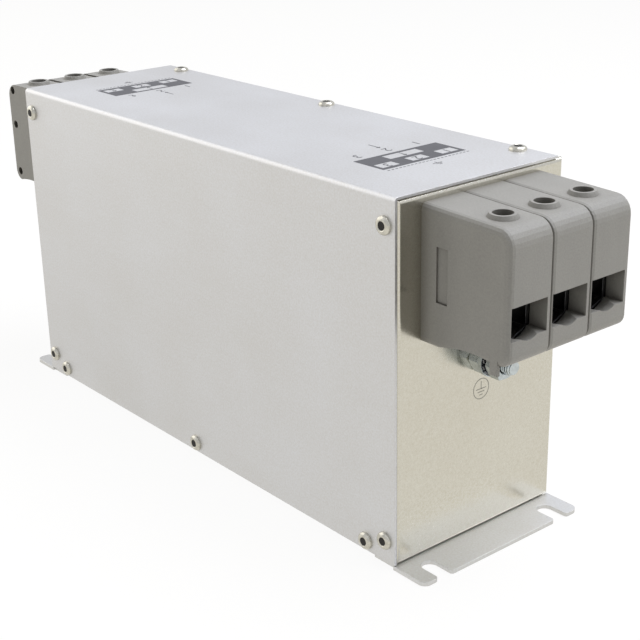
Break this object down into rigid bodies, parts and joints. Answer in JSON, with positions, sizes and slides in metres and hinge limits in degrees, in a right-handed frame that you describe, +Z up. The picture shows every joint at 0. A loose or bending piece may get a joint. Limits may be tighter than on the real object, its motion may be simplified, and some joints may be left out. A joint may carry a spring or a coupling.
{
  "type": "three-phase power line filter",
  "caption": "Slim three-phase power line filter in a riveted sheet-metal case with slotted feet, clamp terminals and an earth stud at each end.",
  "frame": {"origin": "centre of the base underside, on the mounting surface", "axes": "+X along the case towards the load end, -Y towards the cover's side panel, +Z up away from the mounting surface"},
  "size_m": [0.318, 0.0832, 0.1366],
  "materials": {
    "tray_sheet": "plain rolled, matte",
    "cover_sheet": "plain rolled, matte",
    "wall_sheet": "plain rolled, satin",
    "rivet": "satin",
    "terminal_moulding": "moulded, fine matte",
    "clamp_metal": "dark passivated",
    "screw_metal": "zinc-plated satin",
    "bar_metal": "tinned satin",
    "stud_zinc": "zinc-plated bright",
    "tooth_washer": "dark zinc",
    "earth_wire": "insulated wire, smooth",
    "liner": "film",
    "cradle": "moulded matte",
    "core_ferrite": "sintered matte",
    "core_case": "moulded smooth",
    "divider": "moulded matte",
    "winding_copper": "enamelled copper",
    "board": "lacquered board",
    "phase_cap": "moulded smooth",
    "earth_cap": "moulded smooth",
    "resistor": "lacquered"
  },
  "bodies": {
    "root": {"base_tray": "tray_sheet", "cover": "cover_sheet", "end_wall_line": "wall_sheet", "end_wall_load": "wall_sheet", "cover_rivets": "rivet", "back_rivets": "rivet", "top_rivets": "rivet", "terminal_housing_line_1": "terminal_moulding", "terminal_housing_line_2": "terminal_moulding", "terminal_housing_line_3": "terminal_moulding", "terminal_housing_load_1": "terminal_moulding", "terminal_housing_load_2": "terminal_moulding", "terminal_housing_load_3": "terminal_moulding", "clamp_cage_line_1": "clamp_metal", "clamp_cage_line_2": "clamp_metal", "clamp_cage_line_3": "clamp_metal", "clamp_cage_load_1": "clamp_metal", "clamp_cage_load_2": "clamp_metal", "clamp_cage_load_3": "clamp_metal", "clamp_screw_line_1": "screw_metal", "clamp_screw_line_2": "screw_metal", "clamp_screw_line_3": "screw_metal", "clamp_screw_load_1": "screw_metal", "clamp_screw_load_2": "screw_metal", "clamp_screw_load_3": "screw_metal", "current_bar_line_1": "bar_metal", "current_bar_line_2": "bar_metal", "current_bar_line_3": "bar_metal", "current_bar_load_1": "bar_metal", "current_bar_load_2": "bar_metal", "current_bar_load_3": "bar_metal", "earth_bolts": "stud_zinc", "earth_nuts": "stud_zinc", "earth_washers": "stud_zinc", "earth_tooth_washers": "tooth_washer", "earth_lead_line": "earth_wire", "earth_lead_load": "earth_wire", "insulating_sheet": "liner", "choke_cradle": "cradle", "choke_core": "core_ferrite", "core_tray": "core_case", "core_lid": "core_case", "winding_divider": "divider", "winding_1": "winding_copper", "winding_2": "winding_copper", "winding_3": "winding_copper", "board_line": "board", "board_load": "board", "phase_capacitor_line_1": "phase_cap", "phase_capacitor_line_2": "phase_cap", "phase_capacitor_line_3": "phase_cap", "phase_capacitor_load_1": "phase_cap", "phase_capacitor_load_2": "phase_cap", "phase_capacitor_load_3": "phase_cap", "earth_capacitor_line": "earth_cap", "earth_capacitor_load": "earth_cap", "bleed_resistors": "resistor"}
  },
  "joints": []
}
